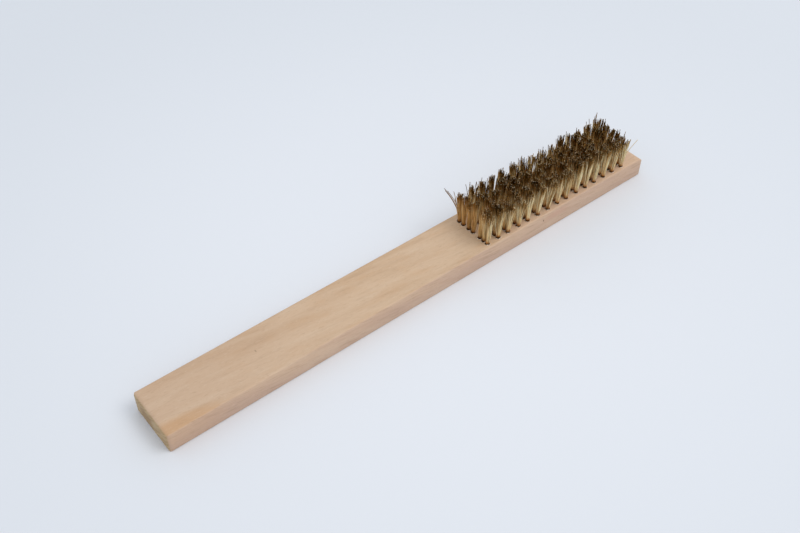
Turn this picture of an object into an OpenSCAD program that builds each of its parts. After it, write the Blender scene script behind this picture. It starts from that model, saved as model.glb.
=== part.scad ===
// Flat wire brush, in millimetres.
//
// One straight wooden block is handle and head together. Its head carries a field of tufts of
// brass wire. Each tuft is a bundle folded in half over a flat steel anchor, which is driven
// to the bottom of a blind hole, where its two ends bite into the wood.
//
// Frame: the origin is the middle of the face that the block rests on. +X runs from the handle
// end to the head end, +Y from the front edge to the back edge, and +Z up along the wires.

/* [Wooden block] */
// Length of the block, handle and head together
block_l = 282.5; // [220:0.5:360]
// Width of the block
block_w = 28; // [23:0.5:40]
// Thickness of the block
block_t = 11.1; // [9:0.1:16]
// Rounding of the underside at the head end, seen from the side
head_heel_r = 3.4; // [0.6:0.1:6]
// Rounding of the underside at the handle end, seen from the side
handle_heel_r = 1.2; // [0.6:0.1:5]
// Rounding of the head's two upright corners, seen from above
head_corner_r = 2.6; // [0.6:0.1:5]
// Rounding of the handle's two upright corners, seen from above
handle_corner_r = 1.8; // [0.6:0.1:5]
// Rounding of the two long edges of the underside
bottom_edge_r = 1; // [0.6:0.1:4]
// Easing of the head end's upper edge
nose_edge_r = 4.6; // [0.2:0.1:4.9]
// Easing of the handle end's upper edge
tail_edge_r = 1.7; // [0.2:0.1:2.5]
// Easing of the upper face's two long edges
top_edge_r = 0.8; // [0.2:0.1:1.5]

/* [Tuft field] */
// Columns of tufts along the head
columns = 15; // [4:1:29]
// Distance from one column to the next
column_pitch = 6.63; // [5.6:0.01:8]
// Distance from the head end to the last column
nose_l = 15.5; // [6:0.5:30]
// Wood between the front edge and the first row of holes
front_margin = 1.75; // [1:0.05:6]
// Wood between the last row of holes and the back edge
back_margin = 4.2; // [1:0.05:6]
// How far a column may be drilled off its true place
drill_wander = 0.25; // [0:0.05:0.4]

/* [Holes and anchors] */
// Diameter of the blind holes
hole_d = 2.1; // [1.6:0.05:2.6]
// Depth of the holes, down to the start of the drill's point
hole_depth = 7; // [5.5:0.1:8.4]
// Thickness of an anchor
anchor_t = 0.35; // [0.2:0.05:0.6]
// Height of an anchor
anchor_h = 1.8; // [1:0.1:2.6]
// How far each end of an anchor bites into the wood
anchor_bite = 0.25; // [0.1:0.05:0.4]
// Wire of the fold below the anchor
fold_h = 0.8; // [0.4:0.1:1.2]

/* [Tufts] */
// Height of the tufts above the upper face, on the average
trim_h = 17.8; // [8:0.1:30]
// How far a tuft may be taller or shorter than the average
trim_spread = 1.6; // [0:0.1:2.5]
// Width that a tuft fans out to at its tips
tip_d = 4.9; // [2.6:0.1:5.4]

/* [Hidden] */
// Clearance round each tuft root and anchor, and between the tips of neighbouring tufts
fit_gap = 0.05;
tip_gap = 0.1;
// A gang of seven drills makes a column, so every column has the same uneven rows. These are
// the parts of the free wood between one row and the next, from the front row to the back row.
row_shares = [1, 2, 9, 3, 6, 3];
rows = len(row_shares) + 1;
share_sum = sum_to(row_shares, len(row_shares));
free_wood = block_w - front_margin - back_margin - rows * hole_d;
// Height of the cone that the drill's point leaves below the depth of the hole
drill_point_h = hole_d / 2 * tan(31);
// The fold of a tuft stands just clear of the drill's point
root_depth = hole_depth - fit_gap;
anchor_l = hole_d + 2 * anchor_bite;
// Least flat end left between the two roundings of the head end, where the block is thin
end_flat = 0.2;
head_heel = min(head_heel_r, block_t - nose_edge_r - end_flat);
// Far enough for a cut to pass right through what it cuts
past = 1;
wander = rands(-drill_wander, drill_wander, columns, 11);
trims = rands(-trim_spread, trim_spread, columns * rows, 5);
$fn = 64;

// The sum of the first n entries of a list
function sum_to(list, n) = n == 0 ? 0 : list[n - 1] + sum_to(list, n - 1);
// A name that ends in a number of two digits
function numbered(name, n) = str(name, n < 10 ? "0" : "", n);
// Where a column stands along the block, the first being the nearest to the handle
function column_x(c) = block_l / 2 - nose_l - (columns - c) * column_pitch + wander[c - 1];
// Where a row stands across the block, the first being the nearest to the front edge
function row_y(r) =
    -block_w / 2 + front_margin + (r - 0.5) * hole_d
    + free_wood * sum_to(row_shares, r - 1) / share_sum;
// How far a tuft may reach towards the next row, where the tips of the two tufts meet
function reach(r, next) =
    next < 1 || next > rows ? tip_d : abs(row_y(next) - row_y(r)) / 2 - tip_gap / 2;
function tuft_h(c, r) = trim_h + trims[(c - 1) * rows + r - 1];

// A rectangle with a radius of its own at each corner, anticlockwise from the origin
module rounded_rectangle(size, radii) {
    corners = [[0, 0], [1, 0], [1, 1], [0, 1]];
    difference() {
        square(size);
        for (i = [0 : 3])
            translate([corners[i].x * (size.x - radii[i]), corners[i].y * (size.y - radii[i])])
                square(radii[i]);
    }
    for (i = [0 : 3])
        translate([
            corners[i].x == 0 ? radii[i] : size.x - radii[i],
            corners[i].y == 0 ? radii[i] : size.y - radii[i]
        ])
            circle(radii[i]);
}

// A flat bar across the hole, as the anchor itself and, grown by a clearance, as the room for it
module anchor_bar(grow) {
    translate([
        -anchor_l / 2 - grow,
        -anchor_t / 2 - grow,
        -root_depth + fold_h - grow
    ])
        cube([anchor_l + 2 * grow, anchor_t + 2 * grow, anchor_h + 2 * grow]);
}

// The room that one tuft and its anchor take in the wood, with its mouth at the origin
module tuft_socket() {
    rotate_extrude()
        polygon([
            [0, -hole_depth - drill_point_h],
            [hole_d / 2, -hole_depth],
            [hole_d / 2, past],
            [0, past]
        ]);
    anchor_bar(fit_gap);
}

// The block is what three outlines have in common: from above, from the side and from the end
module blank() {
    intersection() {
        translate([-block_l / 2, -block_w / 2, 0])
            linear_extrude(block_t)
                rounded_rectangle(
                    [block_l, block_w],
                    [handle_corner_r, head_corner_r, head_corner_r, handle_corner_r]
                );
        translate([-block_l / 2, block_w / 2, 0])
            rotate([90, 0, 0])
                linear_extrude(block_w)
                    rounded_rectangle(
                        [block_l, block_t],
                        [handle_heel_r, head_heel, nose_edge_r, tail_edge_r]
                    );
        translate([-block_l / 2, -block_w / 2, 0])
            rotate([90, 0, 90])
                linear_extrude(block_l)
                    rounded_rectangle(
                        [block_w, block_t],
                        [bottom_edge_r, bottom_edge_r, top_edge_r, top_edge_r]
                    );
    }
}

module wood_block() {
    color([0.80, 0.69, 0.58])
        difference() {
            blank();
            for (c = [1 : columns], r = [1 : rows])
                translate([column_x(c), row_y(r), block_t])
                    tuft_socket();
        }
}

// A round root in the hole and a fan above it, pressed flat where it meets the next tufts,
// with its mouth at the origin. to_front and to_back are how far it may reach.
module tuft(h, to_front, to_back) {
    difference() {
        intersection() {
            rotate_extrude()
                polygon([
                    [0, -root_depth],
                    [hole_d / 2 - fit_gap, -root_depth],
                    [hole_d / 2 - fit_gap, 0],
                    [tip_d / 2, h],
                    [0, h]
                ]);
            translate([-tip_d, -to_front, -root_depth - past])
                cube([2 * tip_d, to_front + to_back, root_depth + h + 2 * past]);
        }
        anchor_bar(fit_gap);
    }
}

module tufts_column(c) {
    color([0.55, 0.43, 0.22])
        for (r = [1 : rows])
            translate([column_x(c), row_y(r), block_t])
                tuft(tuft_h(c, r), reach(r, r - 1), reach(r, r + 1));
}

module anchors_column(c) {
    color([0.62, 0.63, 0.65])
        for (r = [1 : rows])
            translate([column_x(c), row_y(r), block_t])
                anchor_bar(0);
}

wood_block();
for (c = [1 : columns]) {
    tufts_column(c);
    anchors_column(c);
}
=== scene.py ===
"""A flat wire brush: a straight wooden block with a field of brass wire tufts on its head."""

import math

import bpy
import numpy as np
from mathutils import Matrix, Vector


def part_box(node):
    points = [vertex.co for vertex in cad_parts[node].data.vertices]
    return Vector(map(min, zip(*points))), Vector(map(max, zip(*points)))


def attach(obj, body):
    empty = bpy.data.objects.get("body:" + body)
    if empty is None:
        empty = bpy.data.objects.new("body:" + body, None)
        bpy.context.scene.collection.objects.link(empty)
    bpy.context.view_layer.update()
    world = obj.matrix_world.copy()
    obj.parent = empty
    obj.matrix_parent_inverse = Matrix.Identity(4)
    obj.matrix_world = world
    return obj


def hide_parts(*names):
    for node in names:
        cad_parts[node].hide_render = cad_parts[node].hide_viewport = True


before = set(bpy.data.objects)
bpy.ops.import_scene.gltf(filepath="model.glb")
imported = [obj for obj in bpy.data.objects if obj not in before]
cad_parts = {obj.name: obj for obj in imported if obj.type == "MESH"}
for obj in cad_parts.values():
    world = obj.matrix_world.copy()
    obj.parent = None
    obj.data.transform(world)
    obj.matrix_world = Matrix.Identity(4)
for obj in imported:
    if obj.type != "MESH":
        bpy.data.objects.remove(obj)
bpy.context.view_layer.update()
mm = 0.001


# ---------------------------------------------------------------- camera
# A short telephoto view from the front left, half way up, with the handle end nearest. The
# camera is rolled by a fraction of a degree, as one held by hand is.

camera_azimuth = math.radians(-39.35)
camera_elevation = math.radians(45.13)
camera_roll = math.radians(0.65)
camera_distance = 471.6 * mm
camera_aim = Vector((-2.35, 11.1, 0)) * mm

camera = bpy.data.objects.new("camera", bpy.data.cameras.new("camera"))
bpy.context.scene.collection.objects.link(camera)
bpy.context.scene.camera = camera
camera.data.sensor_width = 36
camera.data.lens = 44.28
camera.data.clip_start = 10 * mm
away = Vector((
    math.sin(camera_azimuth) * math.cos(camera_elevation),
    -math.cos(camera_azimuth) * math.cos(camera_elevation),
    math.sin(camera_elevation),
))
turn = away.to_track_quat("Z", "Y").to_matrix() @ Matrix.Rotation(camera_roll, 3, "Z")
camera.matrix_world = Matrix.Translation(camera_aim + away * camera_distance) @ turn.to_4x4()


# ---------------------------------------------------------------- wooden block
# One straight stick of pale close-grained hardwood, sawn, planed and sanded, with no varnish.
# The grain runs along the stick, so its long faces show streaks and its two ends show the
# rings and drink in more dirt.


class Socket:
    """One socket of a finish. A sum, product or power of sockets adds the Math nodes for it."""

    def __init__(self, finish, socket):
        self.finish, self.socket = finish, socket

    def math(self, operation, *values):
        return self.finish.node(
            "ShaderNodeMath", {"operation": operation}, dict(enumerate(values))
        )

    def __add__(self, other):
        return self.math("ADD", self, other)

    def __sub__(self, other):
        return self.math("SUBTRACT", self, other)

    def __rsub__(self, other):
        return self.math("SUBTRACT", other, self)

    def __mul__(self, other):
        return self.math("MULTIPLY", self, other)

    def __truediv__(self, other):
        return self.math("DIVIDE", self, other)

    def __pow__(self, other):
        return self.math("POWER", self, other)

    __radd__ = __add__

    def absolute(self):
        return self.math("ABSOLUTE", self)

    def rise(self, low, high):
        """0 below low and 1 above high, with a smooth rise between them."""
        return self.finish.node(
            "ShaderNodeMapRange",
            {"interpolation_type": "SMOOTHSTEP"},
            {"Value": self, "From Min": low, "From Max": high},
        )


class Finish:
    """A procedural material with one Principled shader, whose constants are set directly."""

    def __init__(self, name, **constants):
        self.material = bpy.data.materials.new(name)
        self.material.use_nodes = True
        self.tree = self.material.node_tree
        self.shader = self.tree.nodes["Principled BSDF"]
        for socket, value in constants.items():
            self.shader.inputs[socket.replace("_", " ")].default_value = value

    def node(self, kind, settings=None, inputs=None, output=0):
        """Adds a node with its settings, then its values or links, and returns one output."""
        made = self.tree.nodes.new(kind)
        for name, value in (settings or {}).items():
            setattr(made, name, value)
        for name, value in (inputs or {}).items():
            if isinstance(value, Socket):
                self.tree.links.new(value.socket, made.inputs[name])
            else:
                made.inputs[name].default_value = value
        return Socket(self, made.outputs[output])

    def feed(self, **sockets):
        """Links what changes over the surface to the shader."""
        for name, value in sockets.items():
            self.tree.links.new(value.socket, self.shader.inputs[name.replace("_", " ")])

    def turned(self, angles):
        """Object coordinates in metres, turned about X, then Y, then Z."""
        return self.node(
            "ShaderNodeMapping",
            {"vector_type": "POINT"},
            {"Vector": self.node("ShaderNodeTexCoord", output="Object"), "Rotation": angles},
        )

    def noise(self, places, scale, detail=3, rough=0.5, bend=0.0):
        """Noise from about 0 to 1, with that many cells to the metre along each axis."""
        scaled = self.node(
            "ShaderNodeMapping", {"vector_type": "POINT"}, {"Vector": places, "Scale": scale}
        )
        return self.node(
            "ShaderNodeTexNoise",
            {"noise_dimensions": "3D"},
            {
                "Vector": scaled,
                "Scale": 1,
                "Detail": detail,
                "Roughness": rough,
                "Distortion": bend,
            },
        )

    def split(self, vector):
        """The three parts of a vector, each as a socket."""
        return [
            self.node("ShaderNodeSeparateXYZ", inputs={"Vector": vector}, output=axis)
            for axis in range(3)
        ]

    def mix(self, share, first, second, blend="MIX"):
        """A colour between two colours, or the second laid on the first in another way."""
        return self.node(
            "ShaderNodeMix",
            {"data_type": "RGBA", "blend_type": blend},
            {0: share, 6: first, 7: second},
            output=2,
        )

    def bump(self, height, depth, strength=1.0):
        """A normal from a height of 0 to 1 that stands for that depth in metres."""
        return self.node(
            "ShaderNodeBump", inputs={"Height": height, "Distance": depth, "Strength": strength}
        )


wood = Finish("bare_hardwood", Specular_IOR_Level=0.35)
pale_wood, tan_wood = (0.680, 0.478, 0.312, 1), (0.600, 0.400, 0.245, 1)
orange_wood, dark_wood = (0.610, 0.335, 0.150, 1), (0.300, 0.165, 0.090, 1)
rosy_wood, fresh_wood = (0.590, 0.400, 0.300, 1), (0.800, 0.640, 0.470, 1)
handled_wood = (0.560, 0.378, 0.255, 1)
low_side_shade_grey, fresh_pink = (0.480, 0.335, 0.265, 1), (0.740, 0.500, 0.360, 1)
olive_end, brown_end = (0.470, 0.342, 0.180, 1), (0.270, 0.150, 0.062, 1)
knot_rose, torn_fibre = (0.560, 0.290, 0.220, 1), (0.90, 0.76, 0.60, 1)
# The near-black colour is the dark of the knots and also the painted shade inside the holes.
knot_and_hole_shade_colour = (0.075, 0.035, 0.014, 1)

# The stick was sawn a few degrees off the grain, which runs down and to the front of the head.
grain = wood.turned((0, math.radians(-8.0), math.radians(6.8)))
place = wood.split(wood.turned((0, 0, 0)))
facing = wood.split(wood.node("ShaderNodeNewGeometry", output="Normal"))
bands = wood.noise(grain, (3.5, 100, 100), detail=3, rough=0.55)
ribbons = wood.noise(grain, (2.4, 250, 250), detail=1)
streaks = wood.noise(grain, (13, 620, 620), detail=3, rough=0.6)
lines = wood.noise(grain, (10, 800, 1100), detail=2)
rings = wood.noise(wood.turned((math.radians(35), 0, 0)), (40, 60, 900), detail=2, bend=0.4)
patches = wood.noise(grain, (70, 190, 190), detail=3, rough=0.6)
mottle = wood.noise(grain, (520, 1100, 1100), detail=2)
pores = wood.noise(grain, (210, 2300, 2300), detail=1).rise(0.60, 0.74)
flecks = wood.noise(grain, (420, 1900, 1900), detail=2).rise(0.55, 0.75)


def blot(across, middle, half, up, height, half_height):
    """1 in the middle of a round spot of that half width and half height, 0 at its edge."""
    return 1 - ((across - middle) / half) ** 2 - ((up - height) / half_height) ** 2


# The handle is a little greyer and rosier from hands. One orange stain is at its front corner,
# a pin knot on its top and another with a rosy halo beside it on the head's front side. The
# heart of the tree shows as a dark spot low on each end. All places are in metres.
handled = 1 - place[0].rise(-0.135, -0.020)
stain = blot(place[0], -0.136, 0.028, place[1] + place[0] * 0.12, -0.0286, 0.0066)
stain = (stain + (streaks - 0.5) * 0.9).rise(0.0, 1.0)
on_side = facing[1].absolute().rise(0.35, 0.85)
at_end = facing[0].absolute().rise(0.55, 0.90)
top_knot = blot(place[0], -0.0895, 0.00040, place[1], 0.0013, 0.00085).rise(0.0, 0.8)
side_knot = blot(place[0], 0.0680, 0.00045, place[2], 0.0078, 0.00080).rise(0.0, 0.8)
halo = blot(place[0], 0.0773, 0.0100, place[2], 0.0078, 0.0026).rise(0.0, 1.0)
heart = blot(place[1], 0.0035, 0.0062, place[2], 0.0052, 0.0052)

colour = wood.mix(bands.rise(0.36, 0.64), pale_wood, tan_wood)
colour = wood.mix((patches + bands * 0.4).rise(0.62, 0.95) * 0.20, colour, orange_wood)
colour = wood.mix(handled * (1 - on_side) * 0.50, colour, handled_wood)
colour = wood.mix(on_side * (0.35 + bands.rise(0.35, 0.65) * 0.45), colour, rosy_wood)
# Painted shade: the long sides turn darker and greyer towards the floor.
colour = wood.mix(on_side * (1 - place[2].rise(0.001, 0.009)) * 0.45, colour, low_side_shade_grey)
colour = wood.mix(place[0].rise(0.030, 0.055) * (1 - on_side) * 0.40, colour, fresh_pink)
colour = wood.mix(ribbons.rise(0.54, 0.70) * 0.12, colour, fresh_wood)
colour = wood.mix(stain * (1 - on_side * 0.7) * 0.55, colour, orange_wood)
colour = wood.mix(streaks.rise(0.46, 0.80) * 0.16, colour, dark_wood)
colour = wood.mix(lines.rise(0.52, 0.72) * on_side * 0.26, colour, dark_wood)
colour = wood.mix((mottle - 0.5).absolute() * 0.80, colour, tan_wood)
colour = wood.mix(pores * 0.17, colour, dark_wood)
colour = wood.mix(flecks * 0.16, colour, fresh_wood)
colour = wood.mix(halo * on_side * 0.30, colour, knot_rose)
colour = wood.mix(top_knot * 0.35 + side_knot * on_side * 0.80, colour, knot_and_hole_shade_colour)
colour = wood.mix(at_end * 0.85, colour, olive_end)
colour = wood.mix(rings.rise(0.46, 0.60) * at_end * 0.40, colour, brown_end)
heart = (heart + (patches - 0.5) * 1.5).rise(-0.1, 0.9)
colour = wood.mix(heart * at_end * 0.55, colour, brown_end)
fray = wood.node("ShaderNodeAttribute", {"attribute_name": "fray"}, output="Fac")
# Painted shade: an attribute of the rims paints the mouth and inner wall of each hole near
# black.
hole_shade = wood.node("ShaderNodeAttribute", {"attribute_name": "hole_shade"}, output="Fac")
colour = wood.mix(fray, colour, torn_fibre)
colour = wood.mix(hole_shade, colour, knot_and_hole_shade_colour)
wood.feed(Base_Color=colour, Roughness=0.55 + mottle * 0.2)
wood.feed(Normal=wood.bump(streaks + lines * 0.5 + pores * 0.6, 0.02 * mm))

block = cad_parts["wood_block"]
block.data.materials.clear()
block.data.materials.append(wood.material)


# ---------------------------------------------------------------- hole rims
# The drill and the driven wire tear and lift the fibres round the mouth of each hole. They
# stand up as a low uneven burr, pale on its crest, with painted shade near black inside the
# mouth.

rim_sides = 14
rim_profile = np.array([
    [0.92, -0.45], [1.02, -0.06], [1.20, 0.09], [1.42, 0.24], [1.78, -0.06],
]) * mm
# Painted shade: how much each profile point is painted near black, most on the inner wall and
# the mouth.
rim_hole_shade = np.array([1.0, 0.95, 0.80, 0.10, 0.0])
rim_fray = np.array([0.0, 0.0, 0.0, 0.9, 0.1])
rim_waver = 0.07
rim_mouth = 1.1 * mm
burr_shares = (0.1, 1.2)
splinter_chance, splinter_extra = 0.22, 1.6


def vertices_of(node):
    """The points of a CAD node's mesh, (points, 3)."""
    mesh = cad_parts[node].data
    found = np.empty(len(mesh.vertices) * 3)
    mesh.vertices.foreach_get("co", found)
    return found.reshape(-1, 3)


def holes_of(column):
    """The middles of a column's holes, (rows, 2), front to back, as its anchors mark them."""
    anchors = vertices_of("anchors_column_" + column)
    x = (anchors[:, 0].min() + anchors[:, 0].max()) / 2
    rows = np.unique(np.round(anchors[:, 1], 5)).reshape(-1, 2).mean(axis=1)
    return np.stack([np.full(len(rows), x), rows], axis=1)


def rim_mesh(name, middles, face, random):
    """A closed ring round each middle, from a profile of radius and height turned about it.

    A ring's point is middle + radius (cos a, sin a). Outside the mouth of the hole the radius is
    multiplied by a random share for that angle, and above the face the height is multiplied by
    another, which is larger where a splinter stands up. The profile's ends lie in the wood.
    """
    count, across = len(middles), len(rim_profile)
    angle = np.arange(rim_sides) * 2 * math.pi / rim_sides
    spots = (count, rim_sides, 1)
    wide = 1 + random.normal(0, rim_waver, spots) * (rim_profile[:, 0] > rim_mouth)
    tall = random.uniform(*burr_shares, spots)
    tall += (random.uniform(size=spots) < splinter_chance) * splinter_extra
    radius = rim_profile[:, 0] * wide
    height = np.where(rim_profile[:, 1] > 0, rim_profile[:, 1] * tall, rim_profile[:, 1])
    places = np.empty((count, rim_sides, across, 3))
    places[..., 0] = middles[:, 0, None, None] + radius * np.cos(angle)[:, None]
    places[..., 1] = middles[:, 1, None, None] + radius * np.sin(angle)[:, None]
    places[..., 2] = face + height
    index = np.arange(count * rim_sides * across).reshape(count, rim_sides, across)
    around, along = np.roll(index, -1, axis=1), np.roll(index, -1, axis=2)
    corner = np.roll(around, -1, axis=2)
    faces = np.stack([index, along, corner, around], axis=-1).reshape(-1, 4)
    mesh = bpy.data.meshes.new(name)
    mesh.from_pydata(places.reshape(-1, 3).tolist(), [], faces.tolist())
    fraying = rim_fray * np.clip((tall - 0.5) * 0.9, 0, 1)
    for key, value in (("hole_shade", rim_hole_shade * np.ones(radius.shape)), ("fray", fraying)):
        layer = mesh.attributes.new(key, "FLOAT", "POINT")
        layer.data.foreach_set("value", value.reshape(-1).astype(np.float32))
    mesh.polygons.foreach_set("use_smooth", np.ones(len(faces), dtype=bool))
    mesh.update()
    return mesh


face_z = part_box("wood_block")[1][2]
columns = sorted(n[-2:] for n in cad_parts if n.startswith("anchors_column_"))
middles = np.concatenate([holes_of(column) for column in columns])
rims_mesh = rim_mesh("hole_rims", middles, face_z, np.random.default_rng(41))
rims_mesh.materials.append(wood.material)
rims = bpy.data.objects.new("hole_rims", rims_mesh)
bpy.context.scene.collection.objects.link(rims)
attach(rims, "root")


# ---------------------------------------------------------------- brass wire tufts
# Each tuft is a bundle of drawn brass wire, folded over its anchor and driven into its hole.
# Above the wood the bundle fans out, mostly along the block, and frays at the tips, which were
# trimmed by shears and have gone brown and uneven in use.

wire_radius = 0.14 * mm
wires_per_tuft = 38
wire_sides = 5
wire_start = -1.5 * mm
ring_places = np.array([0.0, 0.13, 0.26, 0.39, 0.52, 0.64, 0.76, 0.88, 0.995, 1.0])
mean_height = 17.8 * mm
locks_per_tuft = 9
golden_angle = math.pi * (3 - math.sqrt(5))
full_turn = 6.28


def tube_mesh(name, lines, radius, sides, values):
    """Round tubes along many lines at once, closed at both ends.

    lines is (wires, points, 3). Each ring is centre + radius (cos a u + sin a v), where u and v
    are square to the line's tangent. values holds what each point carries as an attribute.
    """
    wires, points = lines.shape[:2]
    tangent = np.gradient(lines, axis=1)
    tangent /= np.linalg.norm(tangent, axis=2, keepdims=True)
    u = np.cross([0.0, 1.0, 0.0], tangent)
    u /= np.linalg.norm(u, axis=2, keepdims=True)
    v = np.cross(tangent, u)
    angle = np.arange(sides) * 2 * math.pi / sides
    ring = np.cos(angle)[:, None] * u[:, :, None] + np.sin(angle)[:, None] * v[:, :, None]
    places = lines[:, :, None] + radius * ring
    index = np.arange(wires * points * sides).reshape(wires, points, sides)
    after = np.roll(index, -1, axis=2)
    walls = np.stack(
        [index[:, :-1], after[:, :-1], after[:, 1:], index[:, 1:]], axis=-1
    ).reshape(-1, 4)
    feet, tips = index[:, 0, ::-1].reshape(-1, sides), index[:, -1].reshape(-1, sides)
    mesh = bpy.data.meshes.new(name)
    mesh.from_pydata(
        places.reshape(-1, 3).tolist(), [], walls.tolist() + feet.tolist() + tips.tolist()
    )
    for key, value in values.items():
        layer = mesh.attributes.new(key, "FLOAT", "POINT")
        layer.data.foreach_set("value", np.repeat(value.reshape(-1), sides).astype(np.float32))
    mesh.uv_layers.new(name="OFBake")
    mesh.uv_layers["OFBake"].data.foreach_set("uv", strip_map(wires, points, sides).reshape(-1))
    smooth = np.arange(len(mesh.polygons)) < len(walls)
    mesh.polygons.foreach_set("use_smooth", smooth)
    mesh.update()
    return mesh


def strip_map(wires, points, sides):
    """Where each corner of many tubes lies on a flat map, in the order of the tubes' faces.

    Each tube has a flat strip of its own in a grid of four columns. A wall's corner lies at the
    share of its ring along the strip and the share of its side across it. The two end caps are
    small polygons at the strip's ends, centre + radius (cos a, sin a).
    """
    lanes, margin = 4, np.array([0.06, 0.05])
    cap_radii, cap_inset = (0.02, 0.4), 0.028
    cell = np.array([1 / lanes, 1 / math.ceil(wires / lanes)])
    number = np.arange(wires)
    origin = np.stack([number % lanes, number // lanes], axis=1) * cell
    ring, side = np.meshgrid(np.arange(points - 1), np.arange(sides), indexing="ij")
    ring = ring[:, :, None] + np.array([0, 0, 1, 1])
    side = side[:, :, None] + np.array([0, 1, 1, 0])
    wall = margin + (1 - 2 * margin) * np.stack([ring / (points - 1), side / sides], axis=-1)
    angle = np.arange(sides) * 2 * math.pi / sides
    cap = np.stack([np.cos(angle), np.sin(angle)], axis=-1) * cap_radii + [0, 0.5]
    foot, tip = (cap + [cap_inset, 0])[::-1], cap + [1 - cap_inset, 0]
    parts = [part.reshape(-1, 2) * cell for part in (wall, foot, tip)]
    return np.concatenate([(origin[:, None] + part).reshape(-1, 2) for part in parts])


brass = Finish("brass_wire", Metallic=1.0, Roughness=0.28, Specular_Tint=(1.0, 0.80, 0.50, 1))
height = brass.node("ShaderNodeAttribute", {"attribute_name": "height"}, output="Fac")
tone = brass.node("ShaderNodeAttribute", {"attribute_name": "tone"}, output="Fac")
wear = brass.node("ShaderNodeAttribute", {"attribute_name": "wear"}, output="Fac")
cut = brass.node("ShaderNodeAttribute", {"attribute_name": "cut"}, output="Fac")
straw, gold = (1.0, 0.91, 0.62, 1), (0.90, 0.66, 0.32, 1)
bare_cut_and_glint = (1.0, 0.87, 0.62, 1)
tarnish_and_gap_shade, amber = (0.34, 0.20, 0.075, 1), (0.62, 0.29, 0.080, 1)
brown, soot = (0.42, 0.235, 0.075, 1), (0.125, 0.062, 0.018, 1)
colour = brass.mix(tone.rise(0.25, 0.90), straw, gold)
# The darkest tones are painted dark brown. This is partly tarnish and partly painted shade
# standing for the dark gaps between the wires.
colour = brass.mix(tone.rise(0.74, 0.92) * 0.90, colour, tarnish_and_gap_shade)
colour = brass.mix((height + wear * 0.45).rise(0.80, 1.12), colour, brown)
colour = brass.mix((height + wear * 0.60).rise(1.05, 1.50) * 0.90, colour, soot)
colour = brass.mix((1 - height.rise(0.01, 0.16)) * 0.85, colour, amber)
# Some cut ends are painted bright brass, with a random brightness. This is partly bare metal and
# partly a painted glint.
colour = brass.mix(cut, colour, bare_cut_and_glint)
brass.feed(Base_Color=colour)


def tops_of(column, rows):
    """How far the tips of each tuft of a column stand above the wood."""
    root_half = 1.0 * mm
    tufts = vertices_of("tufts_column_" + column)
    near = np.abs(tufts[:, 1][:, None] - rows) < root_half
    return np.where(near, tufts[:, 2][:, None], 0).max(axis=0) - face_z


# Wires bent out of line in use: the column and row of each one's tuft, then how far along, how
# far across and how high its tip lies from the middle of its hole, in mm.
strays = {
    ("01", 6): [
        (-5.8, 5.9, 20.1),
        (-5.6, 5.3, 19.0),
        (-4.5, 4.9, 18.5),
        (-1.6, 3.6, 17.4),
    ],
    ("02", 6): [(-2.6, 1.8, 19.9)],
    ("15", 0): [
        (4.6, 0.0, 15.0),
        (4.2, -0.2, 15.2),
        (3.6, 0.1, 14.5),
        (3.1, 0.0, 14.9),
        (4.4, 0.3, 14.2),
        (10.4, 0.0, 12.1),
    ],
    ("15", 1): [(1.5, -0.2, 20.2)],
    ("15", 6): [(2.4, 2.5, 19.9), (0.4, 1.5, 20.1)],
}


def spread_of(tufts, random):
    """Where each wire's root and tip lie from the middle of its hole, and the lock it is in.

    A root is on a golden-angle disc in the hole. The tip is the same disc spread by the fan and
    pulled part of the way to the nearest of the tuft's locks, plus the tuft's lean and the
    wire's own frizz. The first and the last row also lean outwards.
    """
    root_radius, root_shift = 0.80 * mm, np.array([0.08, 0.0]) * mm
    lean_spread, lean_of_all = 0.30 * mm, np.array([0.5, 0.0]) * mm
    front_lean, back_lean = -0.5 * mm, 0.6 * mm
    fan_radii, fan_shares = np.array([2.15, 1.65]) * mm, (0.85, 1.12)
    lock_reach, pulls = 0.85, (0.05, 0.6)
    frizz_spread, wild_chance, wild_extra = 0.30 * mm, 0.14, 2.2
    each = (tufts, wires_per_tuft)
    share = (np.arange(wires_per_tuft) + 0.5) / wires_per_tuft
    turn = np.arange(wires_per_tuft) * golden_angle + random.uniform(0, full_turn, (tufts, 1))
    disc = np.sqrt(share)[:, None] * np.stack([np.cos(turn), np.sin(turn)], axis=-1)
    root = disc * root_radius + root_shift
    outward = np.zeros((tufts, 1, 2))
    outward[0, 0, 1], outward[-1, 0, 1] = front_lean, back_lean
    lean = random.normal(0, lean_spread, (tufts, 1, 2)) + lean_of_all + outward
    fan = fan_radii * random.uniform(*fan_shares, (tufts, 1, 2))
    locks = random.uniform(-1, 1, (tufts, locks_per_tuft, 2)) * lock_reach
    nearest = ((disc[:, :, None] - locks[:, None]) ** 2).sum(axis=3).argmin(axis=2)
    lock = np.take_along_axis(locks, nearest[:, :, None], axis=1)
    pull = random.uniform(*pulls, (*each, 1))
    wild = 1 + wild_extra * (random.uniform(size=(*each, 1)) < wild_chance)
    frizz = random.normal(0, frizz_spread, (*each, 2)) * wild
    tip = (disc * (1 - pull) + lock * pull) * fan + lean + frizz
    return root, tip, nearest


def lengths_of(tops, nearest, random):
    """How high each wire ends, (tufts, wires).

    It is the top of the tuft less a fixed amount, changed at random by its lock and by itself,
    less a random loss from wear. A few wires are longer, and none is far above the tallest tuft.
    """
    trim, lock_spread, wire_spread, loss = 0.8 * mm, 0.55 * mm, 0.5 * mm, 0.5 * mm
    long_chance, long_extra, proud = 0.10, 1.7 * mm, 0.7 * mm
    lock_length = random.normal(0, lock_spread, (len(tops), locks_per_tuft))
    length = tops[:, None] - trim + np.take_along_axis(lock_length, nearest, axis=1)
    length = length + random.normal(0, wire_spread, nearest.shape)
    length -= random.exponential(loss, nearest.shape)
    length += (random.uniform(size=nearest.shape) < long_chance) * long_extra
    return np.minimum(length, tops.max() + proud)


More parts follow.
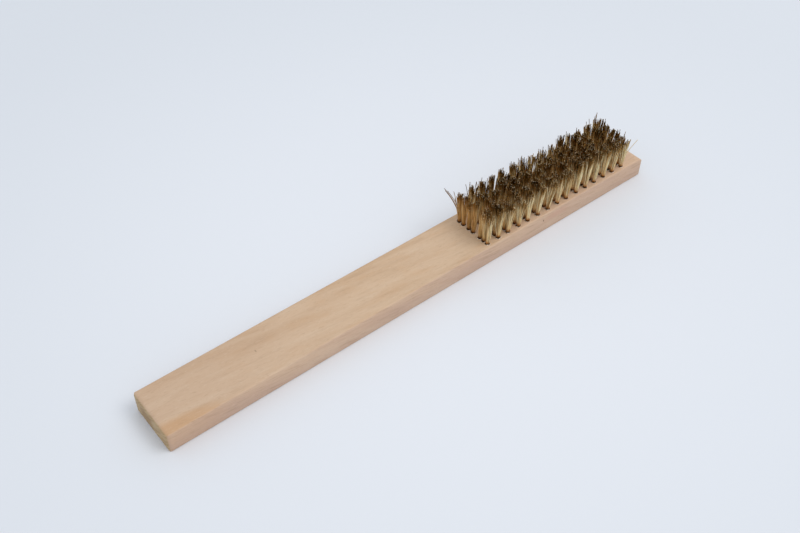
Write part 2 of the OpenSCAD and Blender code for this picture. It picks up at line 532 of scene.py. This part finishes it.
def bend_strays(column, middles, tip, length):
    """Moves the tips of a column's strays to their places, and says which wires are strays."""
    bent = np.zeros(len(length), dtype=bool)
    for (where, row), ends in strays.items():
        if where == column:
            ends = np.array(ends) * mm
            these = slice(row * wires_per_tuft, row * wires_per_tuft + len(ends))
            tip[these] = ends[:, :2] + middles[row]
            length[these] = ends[:, 2]
            bent[these] = True
    return bent


def lines_of(root, tip, length, random):
    """The middle line of each wire, (wires, points, 3), from below its hole's mouth to its tip.

    Seen from above, a point is root + (tip - root) rise^bend plus a bow, which is a half wave
    of the sine over the rise, and a small wave that grows with the rise. The rise goes from 0 at
    the mouth to 1 at the tip, and a wire whose tip is far out bends more.
    """
    bow_spread, wave_size, wave_paces = 0.16 * mm, 0.06 * mm, (4, 11)
    near_and_far, least_and_most_bend = (2.1 * mm, 6.9 * mm), (1.1, 1.9)
    wires = len(length)
    z = wire_start + (length[:, None] - wire_start) * ring_places
    rise = np.clip(z / length[:, None], 0, 1)[:, :, None]
    bow = random.normal(0, bow_spread, (wires, 1, 2)) * np.sin(math.pi * rise)
    pace = random.uniform(*wave_paces, (wires, 1, 2))
    phase = random.uniform(0, full_turn, (wires, 1, 2))
    wave = wave_size * np.sin(rise * pace + phase) * rise
    away = np.linalg.norm(tip - root, axis=1)[:, None, None]
    bend = np.interp(away, near_and_far, least_and_most_bend)
    flat = root[:, None] + (tip - root)[:, None] * rise**bend + bow + wave
    return np.concatenate([flat, z[:, :, None] + face_z], axis=2)


def shades_of(nearest, random, lock_share):
    """A value from 0 to 1 for each wire, in part its lock's and in part its own."""
    lock_shade = random.uniform(0, 1, (len(nearest), locks_per_tuft))
    shades = np.take_along_axis(lock_shade, nearest, axis=1).reshape(-1)
    return lock_share * shades + (1 - lock_share) * random.uniform(0, 1, len(shades))


def wires_of(column, random):
    """The lines of a column's wires, (wires, points, 3), and what their points carry."""
    # The first three set the painted shade on the left end's back rows: the first row it starts
    # at, how far the tone moves, and its limit.
    left_shade_row, left_shade_shift, left_shade_limit = 3, 0.35, 0.79
    cut_chance, cut_shades, overhang = 0.45, (0.3, 1.0), 0.5 * mm
    middles = holes_of(column)
    root, tip, nearest = spread_of(len(middles), random)
    length = lengths_of(tops_of(column, middles[:, 1]), nearest, random).reshape(-1)
    each_middle = np.repeat(middles, wires_per_tuft, axis=0)
    root, tip = root.reshape(-1, 2) + each_middle, tip.reshape(-1, 2) + each_middle
    bent = bend_strays(column, middles, tip, length)
    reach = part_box("wood_block")[1][1] + overhang
    tip[:, 1] = np.clip(tip[:, 1], -reach, reach)
    lines = lines_of(root, tip, length, random)
    tones = shades_of(nearest, random, lock_share=0.35)
    wears = shades_of(nearest, random, lock_share=0.5)
    # Painted shade: in the left end's column the back rows' wires are pushed towards gold and
    # the dark tones. This stands for shade and warm bounce on the side away from the lamp. Its
    # bent strays take the darkest tone.
    if column == columns[0]:
        first = left_shade_row * wires_per_tuft
        tones[first:] = np.clip(tones[first:] + left_shade_shift, 0, left_shade_limit)
        tones[bent] = 1.0
    cuts = (random.uniform(size=len(length)) < cut_chance)[:, None] * (ring_places == 1.0)
    along = np.ones(len(ring_places))
    return lines, {
        "height": (lines[:, :, 2] - face_z) / mean_height,
        "tone": tones[:, None] * along,
        "wear": wears[:, None] * along,
        "cut": cuts * random.uniform(*cut_shades, (len(length), 1)),
    }


for column in columns:
    lines, values = wires_of(column, np.random.default_rng(300 + int(column)))
    mesh = tube_mesh("wires_column_" + column, lines, wire_radius, wire_sides, values)
    mesh.materials.append(brass.material)
    wires = bpy.data.objects.new("wires_column_" + column, mesh)
    bpy.context.scene.collection.objects.link(wires)
    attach(wires, "root")
    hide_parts("tufts_column_" + column)


# ---------------------------------------------------------------- anchors
# Short bars cut from flat steel strip, one under the fold of each tuft, bitten into the wood.

steel = Finish("cut_steel_strip", Metallic=1.0, Roughness=0.35)
scratches = steel.noise(steel.turned((0, 0, 0)), (200, 200, 4000), detail=2)
steel.feed(Base_Color=steel.mix(scratches, (0.48, 0.49, 0.50, 1), (0.62, 0.63, 0.65, 1)))
for column in columns:
    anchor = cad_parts["anchors_column_" + column]
    anchor.data.materials.clear()
    anchor.data.materials.append(steel.material)


# ---------------------------------------------------------------- floor and light
# A matt, faintly blue-white table, a pale sky all round, and one broad soft lamp high on the
# front right, so that a short soft shadow falls to the left and the front side stays bright.

table = Finish("white_table", Roughness=0.9, Specular_IOR_Level=0.1)
distance = table.node(
    "ShaderNodeVectorMath", {"operation": "LENGTH"}, {0: table.turned((0, 0, 0))}, "Value"
)
# Painted light: the table is lighter near the brush and darker away from it, a painted pool of
# light.
table_in_light_pool, table_beyond_light_pool = (0.835, 0.845, 0.868, 1), (0.755, 0.772, 0.798, 1)
table.feed(Base_Color=table.mix(distance.rise(0.02, 0.32), table_in_light_pool, table_beyond_light_pool))
half = 6.0
floor_mesh = bpy.data.meshes.new("floor")
floor_mesh.from_pydata(
    [(-half, -half, 0), (half, -half, 0), (half, half, 0), (-half, half, 0)], [], [(0, 1, 2, 3)]
)
floor_mesh.materials.append(table.material)
floor = bpy.data.objects.new("floor", floor_mesh)
bpy.context.scene.collection.objects.link(floor)

world = bpy.data.worlds.new("pale_room")
bpy.context.scene.world = world
world.use_nodes = True
sky = world.node_tree.nodes["Background"].inputs
sky["Color"].default_value = (0.93, 0.985, 1.06, 1)
sky["Strength"].default_value = 0.765

lamp = bpy.data.objects.new("soft_lamp", bpy.data.lights.new("soft_lamp", "AREA"))
bpy.context.scene.collection.objects.link(lamp)
lamp.data.shape = "RECTANGLE"
lamp.data.size, lamp.data.size_y = 1.8, 1.8
lamp.data.energy = 30
lamp.data.color = (1.0, 0.99, 0.98)
lamp_from = Vector((1.2, -1.3, 2.6))
lamp.location = lamp_from
lamp.rotation_mode = "QUATERNION"
lamp.rotation_quaternion = lamp_from.to_track_quat("Z", "Y")

bpy.context.scene.view_settings.view_transform = "Standard"
